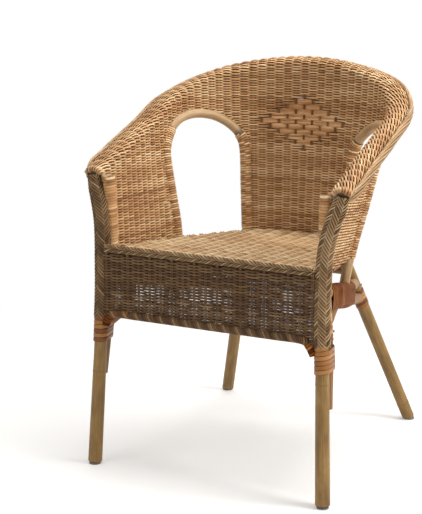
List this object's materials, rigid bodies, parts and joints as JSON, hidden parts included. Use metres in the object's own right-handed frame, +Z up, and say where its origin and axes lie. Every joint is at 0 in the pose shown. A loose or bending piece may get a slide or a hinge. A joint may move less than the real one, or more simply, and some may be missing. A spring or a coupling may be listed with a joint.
{
  "type": "woven tub armchair",
  "caption": "Woven cane tub armchair with rolled arms, arched side windows, a woven seat and pole legs.",
  "frame": {"origin": "on the floor, at the middle of the chair's bounding box in plan", "axes": "+Z up, +X to the right of someone who faces the front of the chair, +Y from the front feet to the back"},
  "size_m": [0.5802, 0.5782, 0.7972],
  "materials": {
    "pole": "peeled rattan pole under a thin clear lacquer",
    "weave": "split cane core, lightly lacquered, honey brown",
    "braid": "plaited cane, satin",
    "cane": "glossy orange brown binding cane",
    "glide": "moulded grey plastic",
    "nail": "dark blued nail head"
  },
  "bodies": {
    "root": {"front_right_leg": "pole", "front_left_leg": "pole", "back_right_leg": "pole", "back_left_leg": "pole", "right_inner_post": "pole", "left_inner_post": "pole", "right_window_hoop": "pole", "left_window_hoop": "pole", "right_side_rail": "pole", "left_side_rail": "pole", "right_arched_rail": "pole", "left_arched_rail": "pole", "rim_pole": "pole", "seat_hoop": "pole", "front_rail": "pole", "back_rail": "pole", "front_arch_pole": "pole", "right_leg_collar": "cane", "left_leg_collar": "cane", "right_post_wrap": "cane", "left_post_wrap": "cane", "right_rail_wrap": "cane", "left_rail_wrap": "cane", "right_back_leg_wrap": "cane", "left_back_leg_wrap": "cane", "right_leg_braid": "braid", "left_leg_braid": "braid", "rim_border": "braid", "seat_edge_braid": "braid", "right_inner_post_wrap": "weave", "left_inner_post_wrap": "weave", "right_window_front_wrap": "weave", "left_window_front_wrap": "weave", "right_window_back_wrap": "weave", "left_window_back_wrap": "weave", "tub_weave": "weave", "seat_weave": "weave", "front_apron": "weave", "front_right_glide": "glide", "front_left_glide": "glide", "back_right_glide": "glide", "back_left_glide": "glide", "right_post_nail": "nail", "left_post_nail": "nail", "right_back_leg_nail": "nail", "left_back_leg_nail": "nail"}
  },
  "joints": []
}
